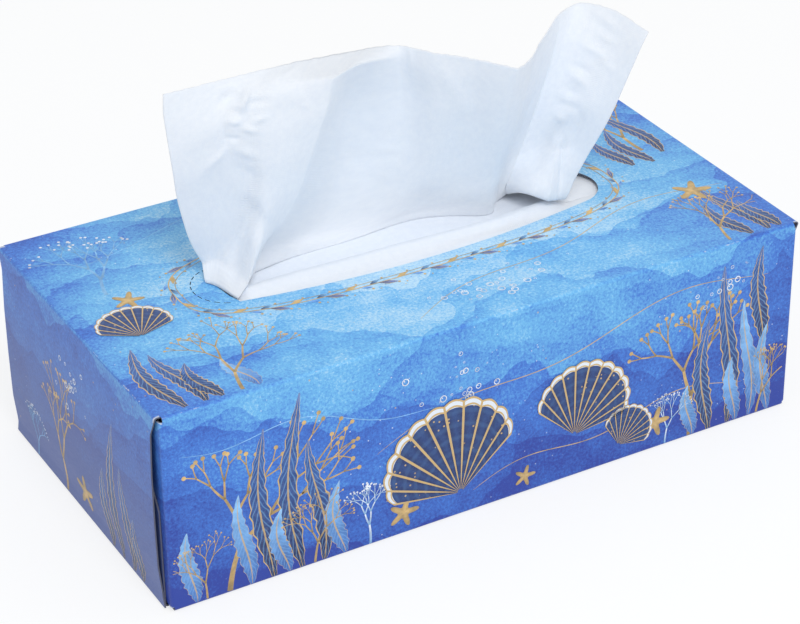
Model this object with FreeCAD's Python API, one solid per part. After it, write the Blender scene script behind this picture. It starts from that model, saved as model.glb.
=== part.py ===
"""Tissue box: a folded and glued board carton with a torn-open slot in its top,
the block of folded tissues inside it, the raised lip of the next tissue and the
tissue that stands out of the slot.

Frame: millimetres, X along the length, Y towards the back, Z up. The origin lies
under the middle of the box, on the face it stands on.
"""
import FreeCAD, Part
import math
import os

V = FreeCAD.Vector

# Driving sizes, mm
BOX_LENGTH = 210.0        # front panel, from end fold to end fold
BOX_WIDTH = 110.0
BOX_HEIGHT = 64.0
BOARD = 0.45              # thickness of the board
GLUE = 0.10               # space between glued layers of board
FOLD = 0.75               # fold radius of the board, at mid thickness
END_BULGE = 1.0           # how far the outer end flap stands off between its hinge and its glue
BULGE_BENDS = (30.0, 60.0, 90.0, 30.0, 15.0)   # bend radii of that bulge, from the hinge down
FLAP_INSET = 3.4          # outer end flap: free side edge to the long panels
RELIEF = 6.5              # height of the slanted relief beside the outer flap's hinge
DUST_FLAP = 36.0          # length of the flaps on the front and back panels
DUST_TAPER = 9.0          # how much each edge of a dust flap runs in
INNER_FLAP = 46.0         # height of the flap on the bottom panel
INNER_CORNER = (8.0, 14.0)     # slanted corner of the inner flap, across and down
SEAM_FLAP = 13.0          # width of the glue flap inside the bottom panel
END_CLEAR = 1.4           # dust flap to the top and bottom panels
GLUE_LINE = (1.4, 4.0)    # height of the glue that holds the outer flap, from and to
GLUE_SPOT = (14.0, 20.0)  # height of the glue between inner and dust flaps, from and to
SLOT_LENGTH = 136.0
SLOT_WIDTH = 33.0
SLOT_SHOULDER = (10.0, 5.5)    # from the slot's end and side to where its arcs meet
TORN_EDGE = 8.5           # length of the tear-out panel left hanging at the slot's left end
SLIT = (1.9, 0.3)         # one cut of the perforation, length and width
END_ROOM = 5.0            # from the box's end folds to the folded tissues
SIDE_ROOM = 3.5           # from the long panels to the folded tissues
STACK_DROP = 2.6          # from the outside of the top panel down to the stack
STACK_FOLDS = 44          # folded edges seen along each long side
SHEET = 0.30              # thickness of one tissue, its three plies together
LIP_Y = -6.0              # the raised lip of the next tissue: its place and its rise
LIP_RISE = 2.9
LIP_ENDS = (15.0, 13.0)   # from the slot's left and right ends to the lip
MOUTH_Y = 5.0             # where the pulled tissue meets the top of the stack
PULLED_TAIL = -30.0       # where its lower free edge lies between the folded tissues

# Sizes that follow from them
HALF_L, HALF_W = BOX_LENGTH / 2, BOX_WIDTH / 2
CORNER = FOLD + BOARD / 2                      # outside radius of a fold
DUST_X = HALF_L                                # outer face of the dust flaps
INNER_X = DUST_X + GLUE + BOARD                # outer face of the inner flaps
OUTER_X = INNER_X + GLUE + BOARD               # outer face of the outer flaps at the hinge
STACK_LENGTH = BOX_LENGTH - 2 * END_ROOM
STACK_WIDTH = BOX_WIDTH - 2 * SIDE_ROOM
STACK_TOP = BOX_HEIGHT - STACK_DROP
SLOT_X, SLOT_Y = SLOT_LENGTH / 2, SLOT_WIDTH / 2


# Folded strips of board
def strip_face(points, radii, thick, place):
    """Section of a strip that follows centre line points and bends at each inner
    point with its radius; place turns (a, b) into a point of space."""
    pts = [V(a, b, 0) for a, b in points]
    sides = ([], [])
    ahead = [(pts[i + 1] - pts[i]).normalize() for i in range(len(pts) - 1)]
    left = [V(-d.y, d.x, 0) for d in ahead]
    for s, sign in enumerate((1, -1)):
        off = sign * thick / 2
        start = pts[0] + left[0] * off
        for i in range(1, len(pts) - 1):
            turn = ahead[i - 1].getAngle(ahead[i])
            way = 1 if ahead[i - 1].cross(ahead[i]).z > 0 else -1
            cut = radii[i - 1] * math.tan(turn / 2)
            centre = pts[i] - ahead[i - 1] * cut + left[i - 1] * (way * radii[i - 1])
            r = radii[i - 1] - way * off
            a = centre - left[i - 1] * (way * r)
            b = centre - left[i] * (way * r)
            mid = centre - (left[i - 1] + left[i]).normalize() * (way * r)
            sides[s].append(("line", start, a))
            sides[s].append(("arc", a, mid, b))
            start = b
        sides[s].append(("line", start, pts[-1] + left[-1] * off))
    edges = []
    for kind, *p in sides[0] + sides[1]:
        if (p[-1] - p[0]).Length < 1e-6:
            continue
        q = [place(v.x, v.y) for v in p]
        edges.append(Part.Arc(*q).toShape() if kind == "arc" else Part.makeLine(*q))
    for first, last in ((sides[0][0][1], sides[1][0][1]), (sides[0][-1][-1], sides[1][-1][-1])):
        edges.append(Part.makeLine(place(first.x, first.y), place(last.x, last.y)))
    return Part.Face(Part.Wire(Part.__sortEdges__(edges)))


def prism(points, place, along):
    """Straight-sided solid over a closed outline of (a, b) points."""
    wire = Part.makePolygon([place(a, b) for a, b in points + points[:1]])
    return Part.Face(wire).extrude(along)


def box(x0, x1, y0, y1, z0, z1):
    return Part.makeBox(x1 - x0, y1 - y0, z1 - z0, V(x0, y0, z0))


# Carton
def sleeve():
    """Bottom, front, top and back panels and the glue flap, folded round the contents."""
    t = BOARD / 2
    line = [(HALF_W - 0.3, t), (-HALF_W + t, t), (-HALF_W + t, BOX_HEIGHT - t),
            (HALF_W - t, BOX_HEIGHT - t), (HALF_W - t, 3 * t + GLUE),
            (HALF_W - SEAM_FLAP, 3 * t + GLUE)]
    half = HALF_L - CORNER
    face = strip_face(line, [FOLD] * 4, BOARD, lambda a, b: V(-half, a, b))
    return face.extrude(V(2 * half, 0, 0))


def dust_flap(end, side):
    """Flap on the front (side -1) or back (side 1) panel, folded in first."""
    t = BOARD / 2
    line = [(HALF_L - CORNER, HALF_W - t), (DUST_X - t, HALF_W - t),
            (DUST_X - t, HALF_W - DUST_FLAP)]
    low, high = END_CLEAR, BOX_HEIGHT - END_CLEAR
    face = strip_face(line, [FOLD], BOARD, lambda a, b: V(end * a, side * b, low))
    flap = face.extrude(V(0, 0, high - low))
    root, tip = HALF_W - 2 * FOLD, HALF_W - DUST_FLAP - 1
    for z, way in ((low, 1), (high, -1)):
        taper = [(root, z), (tip, z + way * DUST_TAPER), (tip, z - way), (root, z - way)]
        flap = flap.cut(prism(taper, lambda a, b: V(end * (DUST_X - 2 * BOARD), side * a, b),
                              V(end * 3 * BOARD, 0, 0)))
    return flap


def inner_flap(end):
    """Flap on the bottom panel, folded up over the dust flaps."""
    t = BOARD / 2
    line = [(HALF_L - CORNER, t), (INNER_X - t, t), (INNER_X - t, INNER_FLAP)]
    half = HALF_W - FLAP_INSET
    face = strip_face(line, [FOLD], BOARD, lambda a, b: V(end * a, -half, b))
    flap = face.extrude(V(0, 2 * half, 0))
    across, down = INNER_CORNER
    corner = [(half + 1, INNER_FLAP - down), (half, INNER_FLAP - down), (half - across, INNER_FLAP),
              (half - across, INNER_FLAP + 1), (half + 1, INNER_FLAP + 1)]
    for side in (-1, 1):
        flap = flap.cut(prism(corner, lambda a, b: V(end * (INNER_X - 2 * BOARD), side * a, b),
                              V(end * 3 * BOARD, 0, 0)))
    return flap


def outer_flap(end):
    """Flap on the top panel. It covers the end, is glued along its lower edge and
    bulges between hinge and glue, so its side edges stand off the flaps behind."""
    t = BOARD / 2
    x, z = OUTER_X - t, BOX_HEIGHT
    line = [(HALF_L - CORNER, z - t), (x, z - t), (x + 0.45 * END_BULGE, 0.88 * z),
            (x + 0.90 * END_BULGE, 0.70 * z), (x + END_BULGE, 0.45 * z),
            (x + 0.85 * END_BULGE, 0.22 * z), (x, 5.0), (x, 0.5)]
    half, edge = HALF_W - CORNER, HALF_W - FLAP_INSET
    face = strip_face(line, [FOLD, *BULGE_BENDS], BOARD, lambda a, b: V(end * a, -half, b))
    flap = face.extrude(V(0, 2 * half, 0))
    outline = [(half, z - CORNER), (edge, z - RELIEF), (edge, 4.0), (edge + 1.2, 0),
               (half + 1, 0), (half + 1, z - CORNER)]
    for side in (-1, 1):
        flap = flap.cut(prism(outline, lambda a, b: V(end * (HALF_L - 1), side * a, b),
                              V(end * (3 + END_BULGE), 0, 0)))
    return flap


def glue_lines(end):
    """Glue between the flaps of one end."""
    wide = HALF_W - 3 * FLAP_INSET
    pads = [box(INNER_X, INNER_X + GLUE, -wide, wide, *GLUE_LINE)]
    for side in (-1, 1):
        y0, y1 = sorted((side * (wide - DUST_FLAP / 2), side * wide))
        pads.append(box(DUST_X, DUST_X + GLUE, y0, y1, *GLUE_SPOT))
    if end < 0:
        pads = [p.mirror(V(0, 0, 0), V(1, 0, 0)) for p in pads]
    return pads


def slot_outline():
    """Edges of the slot's two bowed sides and two round ends, in order."""
    sx, sy = SLOT_X - SLOT_SHOULDER[0], SLOT_Y - SLOT_SHOULDER[1]
    at = lambda x, y: V(x, y, BOX_HEIGHT + 1)
    return [Part.Arc(at(-sx, -sy), at(0, -SLOT_Y), at(sx, -sy)),
            Part.Arc(at(sx, -sy), at(SLOT_X, 0), at(sx, sy)),
            Part.Arc(at(sx, sy), at(0, SLOT_Y), at(-sx, sy)),
            Part.Arc(at(-sx, sy), at(-SLOT_X, 0), at(-sx, -sy))]


def slot_cut():
    """The open part of the slot: everything right of the torn edge."""
    wire = Part.Wire([arc.toShape() for arc in slot_outline()])
    hole = Part.Face(wire).extrude(V(0, 0, -6))
    torn = -SLOT_X + TORN_EDGE
    zigzag = [(torn + 1.2, -SLOT_Y), (torn + 0.7, -10), (torn - 0.4, -6.5), (torn - 0.9, -2),
              (torn - 1.3, 2.5), (torn - 0.6, 6), (torn - 1.0, 9.5), (torn + 0.6, SLOT_Y)]
    keep = [(-SLOT_X - 1, -SLOT_Y)] + zigzag + [(-SLOT_X - 1, SLOT_Y)]
    return hole.cut(prism(keep, lambda a, b: V(a, b, BOX_HEIGHT + 2), V(0, 0, -9)))


def perforation():
    """Short cuts along the slot's left end, where the panel did not tear out."""
    arc = slot_outline()[3]
    length = arc.length()
    count = int(length / (SLIT[0] + 0.9))
    cuts = []
    for i in range(count):
        u = arc.parameterAtDistance((i + 0.5) * length / count, arc.FirstParameter)
        if arc.value(u).x > -SLOT_X + TORN_EDGE - 0.8:
            continue
        way = arc.tangent(u)[0]
        slit = Part.makeBox(SLIT[0], SLIT[1], 4, V(-SLIT[0] / 2, -SLIT[1] / 2, -3))
        slit.rotate(V(0, 0, 0), V(0, 0, 1), math.degrees(math.atan2(way.y, way.x)))
        slit.translate(arc.value(u))
        cuts.append(slit)
    return cuts


def carton():
    """The whole blank, folded and glued."""
    parts = [box(-HALF_L + 6, HALF_L - 6, HALF_W - SEAM_FLAP + 1.5, HALF_W - 2.5,
                 BOARD, BOARD + GLUE)]
    for end in (-1, 1):
        parts += [dust_flap(end, -1), dust_flap(end, 1), inner_flap(end), outer_flap(end)]
        parts += glue_lines(end)
    blank = sleeve().multiFuse(parts)
    return blank.cut(slot_cut()).cut(Part.makeCompound(perforation()))


# Tissue block
def tissue_stack():
    """Folded tissues under the top two, with every fold rounded along both sides."""
    low, step_y = BOARD, HALF_W - SEAM_FLAP - 0.5
    lift = 2 * BOARD + GLUE
    half = STACK_WIDTH / 2
    pitch = (STACK_TOP - lift) / STACK_FOLDS
    at = lambda y, z: V(-STACK_LENGTH / 2, y, z)
    edges = [Part.makeLine(at(-half + pitch / 2, lift), at(-half + pitch / 2, low)),
             Part.makeLine(at(-half + pitch / 2, low), at(step_y, low)),
             Part.makeLine(at(step_y, low), at(step_y, lift)),
             Part.makeLine(at(step_y, lift), at(half - pitch / 2, lift)),
             Part.makeLine(at(half - pitch / 2, STACK_TOP), at(-half + pitch / 2, STACK_TOP))]
    for side in (-1, 1):
        root = side * (half - pitch / 2)
        for i in range(STACK_FOLDS):
            z, tip = lift + i * pitch, side * (half - 0.35 * (i % 3))
            fold = [at(root, z), at(tip, z + 0.25 * pitch), at(tip, z + 0.75 * pitch),
                    at(root, z + pitch)]
            edges += [Part.makeLine(p, q) for p, q in zip(fold, fold[1:])]
    wire = Part.Wire(Part.__sortEdges__(edges))
    return Part.Face(wire).extrude(V(STACK_LENGTH, 0, 0))


# Soft sheets
def with_midlines(pleats):
    """Adds a line half-way between each two pleats, on the curve through four of them."""
    out = [pleats[0]]
    last = len(pleats) - 1
    for i in range(last):
        four = [pleats[max(i - 1, 0)], pleats[i], pleats[i + 1], pleats[min(i + 2, last)]]
        out.append([(b + c) * 0.5625 - (a + d) * 0.0625 for a, b, c, d in zip(*four)])
        out.append(pleats[i + 1])
    return out


def facet(a, b, c):
    return Part.Face(Part.makePolygon([a, b, c, a]))


def pleated_sheet(pleats, thick):
    """Solid sheet of flat facets through a grid of points: a list of pleats, each a
    list of points down the sheet. The facets turn with the shorter diagonal."""
    nu, nv = len(pleats), len(pleats[0])
    sides = ([], [])
    for i, pleat in enumerate(pleats):
        lines = ([], [])
        for j, p in enumerate(pleat):
            across = pleats[min(i + 1, nu - 1)][j] - pleats[max(i - 1, 0)][j]
            down = pleat[min(j + 1, nv - 1)] - pleat[max(j - 1, 0)]
            out = across.cross(down).normalize() * (thick / 2)
            lines[0].append(p + out)
            lines[1].append(p - out)
        sides[0].append(lines[0])
        sides[1].append(lines[1])
    faces = []
    for i in range(nu - 1):
        for j in range(nv - 1):
            steep = ((pleats[i][j] - pleats[i + 1][j + 1]).Length
                     > (pleats[i + 1][j] - pleats[i][j + 1]).Length)
            for g in sides:
                q = [g[i][j], g[i + 1][j], g[i + 1][j + 1], g[i][j + 1]]
                q = q[1:] + q[:1] if steep else q
                faces += [facet(q[0], q[1], q[2]), facet(q[0], q[2], q[3])]
    front, back = sides
    rims = [(front[i][j], front[i + 1][j], back[i + 1][j], back[i][j])
            for i in range(nu - 1) for j in (0, nv - 1)]
    rims += [(front[i][j], front[i][j + 1], back[i][j + 1], back[i][j])
             for i in (0, nu - 1) for j in range(nv - 1)]
    for a, b, c, d in rims:
        faces += [facet(a, b, c), facet(a, c, d)]
    shell = Part.makeShell(faces)
    shell.sewShape()
    solid = Part.Solid(shell.Shells[0] if shell.Shells else shell)
    if solid.Volume < 0:
        solid.reverse()
    return solid


def flat_run(points, radii, x0=-STACK_LENGTH / 2, x1=STACK_LENGTH / 2):
    """Part of a tissue that runs straight along the box: a folded strip."""
    face = strip_face(points, radii, SHEET, lambda a, b: V(x0, a, b))
    return face.extrude(V(x1 - x0, 0, 0))


# Heights of the four layers on top of the stack, at mid thickness.
LAYER = [STACK_TOP + SHEET * (i + 0.5) for i in range(4)]

# Pleats of the pulled tissue, chosen by eye, in mm from the slot's middle at the top
# panel: (x, y, height), from the free top edge down into the slot.
PLEATS = (
    # left side edge
    ((-72, 4, 62.5), (-72.5, 3.5, 57.5), (-72, 3, 49), (-71, 3, 39), (-69, 4.5, 26),
     (-65.5, 6, 13), (-60.5, 8, 4), (-61.5, 4, 0.5), (-57.5, 6, 0), (-57.5, 8, -1.5)),
    # left crimped band
    ((-46, 4, 62.5), (-49, 1.5, 59), (-52.5, -0.5, 51.5), (-52, 0, 41), (-50, 1.5, 27),
     (-51.5, 2.5, 14), (-56.5, 2.5, 4), (-60.5, -1.5, 0.5), (-57, 2.5, 0), (-55, 8, -1.5)),
    # left flap
    ((-32.5, 4.5, 62), (-37.5, -2, 60), (-41, -3, 51), (-43, -3, 39), (-44.5, -2.5, 26.5),
     (-47.5, -3, 14.5), (-54, -7, 2.5), (-59, -10, 0.5), (-55, -3, 0), (-51, 8, -1.5)),
    # front fold
    ((-14.5, 4.5, 61), (-26, -9, 61.5), (-27.5, -8, 52), (-31.5, -6, 39), (-36.5, -4, 24),
     (-42.5, -2, 14), (-44.5, 5, 5), (-45.5, 4.5, 0.5), (-45.5, 6, -0.5), (-44.5, 9, -1.5)),
    # beside the front fold
    ((-6.5, 3.5, 61), (-14.5, -4.5, 61.5), (-13.5, 3.5, 47), (-16, 4, 30.5), (-21.5, 3.5, 16),
     (-29, 3.5, 6.5), (-32.5, 4.5, 2.5), (-33, 4.5, 0.5), (-33, 6, -0.5), (-32.5, 9, -1.5)),
    # top of the middle panel
    ((0.5, 0, 61.5), (0.5, -0.5, 58), (2.5, 2.5, 45.5), (1.5, 3, 28), (-2.5, 3.5, 14),
     (-8, 5, 4), (-14, 1.5, 2), (-14, 1.5, 0.5), (-14, 3.5, -0.5), (-14, 8, -1.5)),
    # middle panel
    ((7, -8, 61), (7, -7.5, 55), (8.5, -6, 44.5), (9.5, -2.5, 28.5), (9, 1, 13.5),
     (7.5, 4.5, 5.5), (4.5, 6, 2), (4.5, 6.5, 0.5), (4.5, 7.5, -0.5), (4, 10, -1.5)),
    # right part of the middle panel
    ((16, -16.5, 60), (16.5, -15, 53.5), (18, -12, 43), (19.5, -6.5, 27.5), (19.5, -1.5, 12.5),
     (18.5, 1.5, 5), (17, 3, 2), (17, 3, 0.5), (17, 4.5, -0.5), (16.5, 8, -1.5)),
    # forward dip
    ((25.5, -24, 58), (26, -21, 50.5), (27, -16.5, 39.5), (28, -10.5, 25), (28, -5.5, 12.5),
     (28, -3.5, 5.5), (27.5, -3, 2), (28, -2.5, 0.5), (28, -1, -0.5), (28, 7, -1.5)),
    # turn behind the dip
    ((42.5, -11, 58.5), (41, -10, 50.5), (40, -8, 40), (38, -4.5, 26.5), (35.5, -1, 14),
     (35.5, 1.5, 8), (35, 2.5, 2), (35, 2.5, 0.5), (35.5, 5, -0.5), (36, 9, -1.5)),
    # right fold
    ((52.5, -3.5, 60.5), (52, -3, 53.5), (50, -1.5, 42), (46.5, 0.5, 27.5), (42.5, 2, 15),
     (40.5, 3.5, 8.5), (39.5, 5, 3), (40, 5, 1), (41, 7, 0), (41.5, 10, -1.5)),
    # right flap
    ((61, -1, 61), (58, -3.5, 54.5), (55, -4.5, 43.5), (51.5, -4, 29), (48, -2, 16),
     (46.5, 0.5, 8), (45, 3, 3), (45.5, 3, 1), (46, 6, 0), (46, 10, -1.5)),
    # right crimped band
    ((66, -7, 61), (63.5, -9, 53), (60, -10, 44.5), (55.5, -9.5, 32.5), (51, -8, 21.5),
     (49.5, -6, 11.5), (49, -3.5, 2.5), (49.5, -3, 0.5), (50.5, 2, 0), (51, 9, -1.5)),
    # right side edge
    ((71.5, -22, 57.5), (69, -22, 53), (66, -20, 43), (62.5, -16, 28.5), (58.5, -11, 15),
     (56.5, -7.5, 7), (53.5, -7, 2.5), (53.5, -5.5, 0.5), (54, -1, -0.5), (55, 8, -1.5)),
)


def pulled_tissue():
    """One sheet: it stands in the slot, lies flat on the stack towards the back,
    turns at the side of the stack and runs back between the folded tissues."""
    kx, ky = SLOT_LENGTH / 136.0, SLOT_WIDTH / 33.0
    pleats = [[V(x * kx, y * ky, z + BOX_HEIGHT) for x, y, z in line] for line in PLEATS]
    for line in pleats:
        line[-1].z = LAYER[3]
    side = STACK_WIDTH / 2 - 1.3
    run = flat_run([(MOUTH_Y, LAYER[3]), (side, LAYER[3]), (side, LAYER[1]),
                    (PULLED_TAIL, LAYER[1])], [0.95 * SHEET, 0.95 * SHEET])
    return pleated_sheet(with_midlines(pleats), SHEET).fuse(run)


def next_tissue():
    """One sheet, folded at the front side of the stack. A lip of it is drawn up into
    the slot, in front of the pulled tissue, and ends in a point at each end."""
    side, foot = STACK_WIDTH / 2 - 1.0, -SLOT_Y + 1.5
    low, high = LAYER[2], LAYER[3]
    front = flat_run([(foot + 1, high), (-side, high), (-side, LAYER[0]), (side, LAYER[0])],
                     [1.3 * SHEET, 1.3 * SHEET])
    back = flat_run([(foot + 1, low), (side - 4 * SHEET, low)], [])
    step = box(-STACK_LENGTH / 2, STACK_LENGTH / 2, foot + 1, foot + 1 + SHEET,
               low - SHEET / 2, high + SHEET / 2)
    x0, x1 = -SLOT_X + LIP_ENDS[0], SLOT_X - LIP_ENDS[1]
    lip = flat_run([(foot, high), (foot + 2.5, high + SHEET), (LIP_Y, high + LIP_RISE),
                    (LIP_Y + 1.5, low)], [8, SHEET], x0, x1)
    for end, x in ((-1, x0), (1, x1)):
        point = [(x + end, LIP_Y + 3), (x - end * 12, LIP_Y + 3), (x + end, foot + 1)]
        lip = lip.cut(prism(point, lambda a, b: V(a, b, high + SHEET), V(0, 0, 2 * LIP_RISE)))
    return front.multiFuse([back, step, lip])


# Write the parts
def main():
    os.makedirs("parts", exist_ok=True)
    nodes = {"carton": carton, "tissue_stack": tissue_stack,
             "next_tissue": next_tissue, "pulled_tissue": pulled_tissue}
    for name, make in nodes.items():
        shape = make().removeSplitter()
        if len(shape.Solids) != 1 or not shape.isValid():
            raise ValueError("%s is not one valid solid: %d" % (name, len(shape.Solids)))
        shape.Solids[0].exportStep("parts/%s.step" % name)


main()
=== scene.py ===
"""Looks of a tissue box: the printed carton, the tissue that stands in its slot and
the next one below it. Laid out as a Blender add-on and run as a script.

Metres, X along the length, Y towards the back, Z up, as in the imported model.
"""

import bpy
import numpy as np
from bpy.props import FloatProperty, FloatVectorProperty, PointerProperty
from mathutils import Matrix


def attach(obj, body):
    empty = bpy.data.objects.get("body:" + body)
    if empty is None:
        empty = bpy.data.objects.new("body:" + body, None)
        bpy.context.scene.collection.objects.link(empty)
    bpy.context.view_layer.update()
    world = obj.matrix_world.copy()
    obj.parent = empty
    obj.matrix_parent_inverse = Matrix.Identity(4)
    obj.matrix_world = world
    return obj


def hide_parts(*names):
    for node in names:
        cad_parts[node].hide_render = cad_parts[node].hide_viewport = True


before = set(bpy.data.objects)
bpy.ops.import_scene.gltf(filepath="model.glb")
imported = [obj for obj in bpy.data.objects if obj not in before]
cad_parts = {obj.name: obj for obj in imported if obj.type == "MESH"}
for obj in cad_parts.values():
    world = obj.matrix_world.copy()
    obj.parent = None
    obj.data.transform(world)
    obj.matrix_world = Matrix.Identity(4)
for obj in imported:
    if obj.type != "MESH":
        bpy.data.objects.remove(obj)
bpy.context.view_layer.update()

bl_info = {
    "name": "Tissue box",
    "version": (1, 0, 0),
    "blender": (4, 5, 0),
    "location": "View3D > Sidebar > Tissue box",
    "description": "Printed carton with a tissue standing in its slot",
    "category": "Object",
}

# Carton, as packed
END_X = 0.105                # end folds
SIDE_Y = 0.055               # front and back panels
TOP_Z = 0.064
FLAP_X = 0.1061              # outer face of the end flap at its hinge
FLAP_BULGE = ((0.0, 0.0), (0.005, 0.0), (0.0141, 0.00085), (0.0288, 0.001),
              (0.0448, 0.0009), (0.0563, 0.00045), (0.064, 0.0))   # height, stand-off
STACK_TOP = 0.0614
SHEET = 0.0003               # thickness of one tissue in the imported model
LAYERS = [STACK_TOP + SHEET * (i + 0.5) for i in range(4)]
SHEET_FLAT = (0.200, 0.205)
# The embossed bands of a tissue: the middle between them, and how far from it they begin
# and end, each with its soft edge
CRIMP_MIDDLE, CRIMP_INNER, CRIMP_OUTER = 0.106, (0.062, 0.068), (0.084, 0.078)
SKIN = 0.0004                # how near an outer face the board counts as printed

# Print, in mm: how far shapes may reach on each panel, how near to the slot and to the
# bottom edge, where the sea motifs are rooted, and half the size of the slot's border
PANEL_REACH = {"front": (104.3, 63.2), "back": (104.3, 63.2), "left": (53.5, 63),
               "right": (53.5, 63), "top": (104.3, 54.3)}
SLOT_REACH = (69, 17.5)
PANEL_FOOT = 0.5
ROOT = 0.8
BORDER_HALF = (73.5, 22.0)
RIBS = 11                    # ribs of a scallop
SHAPE_LIFT, RUN_LIFT = 4e-8, 1.5e-6    # height of a shape over the last one, in metres

# Stage
FLOOR_HALF, FLOOR_Z = 4, -0.0002
LAMP_AT, LAMP_TARGET, LAMP_SIZE = (-0.18, -0.78, 1.03), (0, 0, 0.05), 0.5
CAMERA_AT = (-0.33869, -0.60400, 0.44908)
CAMERA_TURNS = (-0.51047, 0.53675, -0.01369)    # heading, look down and roll, in radians


def ink(red, green, blue):
    """Linear colour of an sRGB one given from 0 to 255."""
    c = np.array([red, green, blue]) / 255
    return tuple(np.where(c <= 0.04045, c / 12.92, ((c + 0.055) / 1.055) ** 2.4).tolist())


WORN = ink(206, 214, 226)    # board that shows where the print is worn off


def colour(name, description, red, green, blue):
    """A colour property from an sRGB colour given from 0 to 255."""
    return FloatVectorProperty(name=name, description=description, subtype="COLOR", size=3,
                               min=0, max=1, default=ink(red, green, blue))


def length(name, description, default, low, high):
    """A property for a length in metres."""
    return FloatProperty(name=name, description=description, default=default, min=low,
                         max=high, unit="LENGTH", subtype="DISTANCE", precision=5)


class CartonPrint(bpy.types.PropertyGroup):
    light: colour("Light wash", "Colour of the wash beside the slot", 200, 232, 250)
    azure: colour("Azure wash", "Colour of the wash on most of the top", 114, 190, 240)
    blue: colour("Blue wash", "Colour of the wash half-way down the sides", 70, 126, 216)
    deep: colour("Deep wash", "Colour of the wash along the bottom edge", 46, 70, 164)
    # Grey-blue laid over the print of the ends: partly their own greyer print, partly painted shade
    # of the end faces, stronger towards the bottom.
    print_grey_and_shade: colour("End haze", "Greyed blue that dulls the print of the ends", 104, 122, 166)
    navy: colour("Navy ink", "Darkest ink of the motifs", 28, 38, 88)
    pale: colour("Pale ink", "Pale blue ink of the motifs", 140, 196, 244)
    gold: colour("Gold ink", "Gold ink of the motifs", 214, 180, 120)
    white: colour("White ink", "White ink of the motifs", 236, 242, 250)
    # Board colour darkened to grey navy, so that the cut edges also carry painted shade of the gap
    # under the end flaps' edges; the board itself is lighter and browner.
    board: colour("Board", "Unprinted side and cut edges of the board", 100, 102, 118)
    band: length("Band height", "Distance between two bands of the wash", 0.024, 0.008, 0.06)
    grain: length("Paper grain", "Size of the grain of the print", 0.0009, 0.0002, 0.005)
    wear: length("Wear", "How far wear reaches in from an edge", 0.0012, 0.0, 0.006)
    lift: length("Ink height", "Height of the motifs' ink over the panel", 0.00002, 0.00001, 0.0001)


class TissueSheet(bpy.types.PropertyGroup):
    white: colour("Tissue", "Colour of the paper", 240, 244, 250)
    shade: colour("Tissue shade", "Colour where the plies lie close", 234, 239, 247)
    thick: length("Thickness", "Thickness of the three plies", 0.00022, 0.0001, 0.0003)
    crepe: length("Crepe", "Distance between two crepe lines", 0.0007, 0.0003, 0.003)
    crimp: FloatProperty(name="Crimp", description="Depth of the puckers beside the side edges",
                         default=1.0, min=0, max=2)


class StudioStage(bpy.types.PropertyGroup):
    floor: colour("Floor", "Colour of the floor", 246, 248, 250)
    key: FloatProperty(name="Key lamp", description="Power of the lamp over the box",
                       default=5.9, min=0, max=100, unit="POWER")
    sky: FloatProperty(name="Sky", description="Strength of the even light from all round",
                       default=0.67, min=0, max=3)
    lens: FloatProperty(name="Lens", description="Focal length of the camera",
                        default=119.93, min=20, max=300, unit="CAMERA")


# Meshes
def patch_mesh(name, parts):
    """One mesh of many patches. Each part is an array of points of the shape (patches,
    rows, columns, 3), the same with 2 for its UV map, and, for printed shapes, with 4
    for the ink: a colour and how much gold rim it has."""
    quads, start = [], 0
    for points, *_ in parts:
        index = start + np.arange(points[..., 0].size).reshape(points.shape[:3])
        quads.append(np.stack([index[:, :-1, :-1], index[:, :-1, 1:], index[:, 1:, 1:],
                               index[:, 1:, :-1]], axis=-1).reshape(-1, 4))
        start += index.size
    quads = np.concatenate(quads)
    points, uv, *inks = (np.concatenate([x.reshape(-1, x.shape[-1]) for x in column])
                         for column in zip(*parts))
    mesh = bpy.data.meshes.new(name)
    mesh.vertices.add(len(points))
    mesh.vertices.foreach_set("co", points.astype(np.float32).ravel())
    mesh.loops.add(quads.size)
    mesh.loops.foreach_set("vertex_index", quads.astype(np.int32).ravel())
    mesh.polygons.add(len(quads))
    mesh.polygons.foreach_set("loop_start", np.arange(0, quads.size, 4, dtype=np.int32))
    mesh.polygons.foreach_set("use_smooth", np.ones(len(quads), dtype=bool))
    mesh.uv_layers.new(name="Sheet").data.foreach_set(
        "uv", uv[quads.ravel()].astype(np.float32).ravel())
    for ink_value in inks:
        colours = mesh.attributes.new("Ink", "FLOAT_COLOR", "POINT").data
        colours.foreach_set("color", ink_value.astype(np.float32).ravel())
    mesh.update(calc_edges=True)
    mesh.validate()
    piece = bpy.data.objects.new(name, mesh)
    bpy.context.scene.collection.objects.link(piece)
    return piece


def through(knots, places, at, crisp):
    """Curve through knots that lie at places along axis 0, read at the given places.
    Each span is a cubic whose slope at a knot is the mean of the two steps beside it,
    weighed by their lengths; crisp, from 0 to 1 a knot, turns that towards the step of
    the span itself, which makes a crease there."""
    shape = (-1,) + (1,) * (knots.ndim - 1)
    h = np.diff(places).reshape(shape)
    step = np.diff(knots, axis=0) / h
    mean = (step[1:] * h[:-1] + step[:-1] * h[1:]) / (h[1:] + h[:-1])
    slope = np.concatenate([step[:1], mean, step[-1:]])
    before = np.concatenate([step[:1], step])
    after = np.concatenate([step, step[-1:]])
    ends, starts = slope + crisp * (before - slope), slope + crisp * (after - slope)
    i = np.clip(np.searchsorted(places, at, side="right") - 1, 0, len(places) - 2)
    t = ((at - places[i]) / (places[i + 1] - places[i])).reshape(shape)
    width = (places[i + 1] - places[i]).reshape(shape)
    return ((2 * t ** 3 - 3 * t ** 2 + 1) * knots[i]
            + (t ** 3 - 2 * t ** 2 + t) * width * starts[i]
            + (3 * t ** 2 - 2 * t ** 3) * knots[i + 1] + (t ** 3 - t ** 2) * width * ends[i + 1])


def between(places, spacing, coarse=None, start=np.inf):
    """Places with more of them added evenly in each span, about spacing apart, or
    coarse apart in the spans from start on."""
    parts = [np.linspace(a, b, max(int(round((b - a) / (coarse if a >= start else spacing))), 2),
                         endpoint=False) for a, b in zip(places[:-1], places[1:])]
    return np.concatenate(parts + [places[-1:]])


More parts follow.
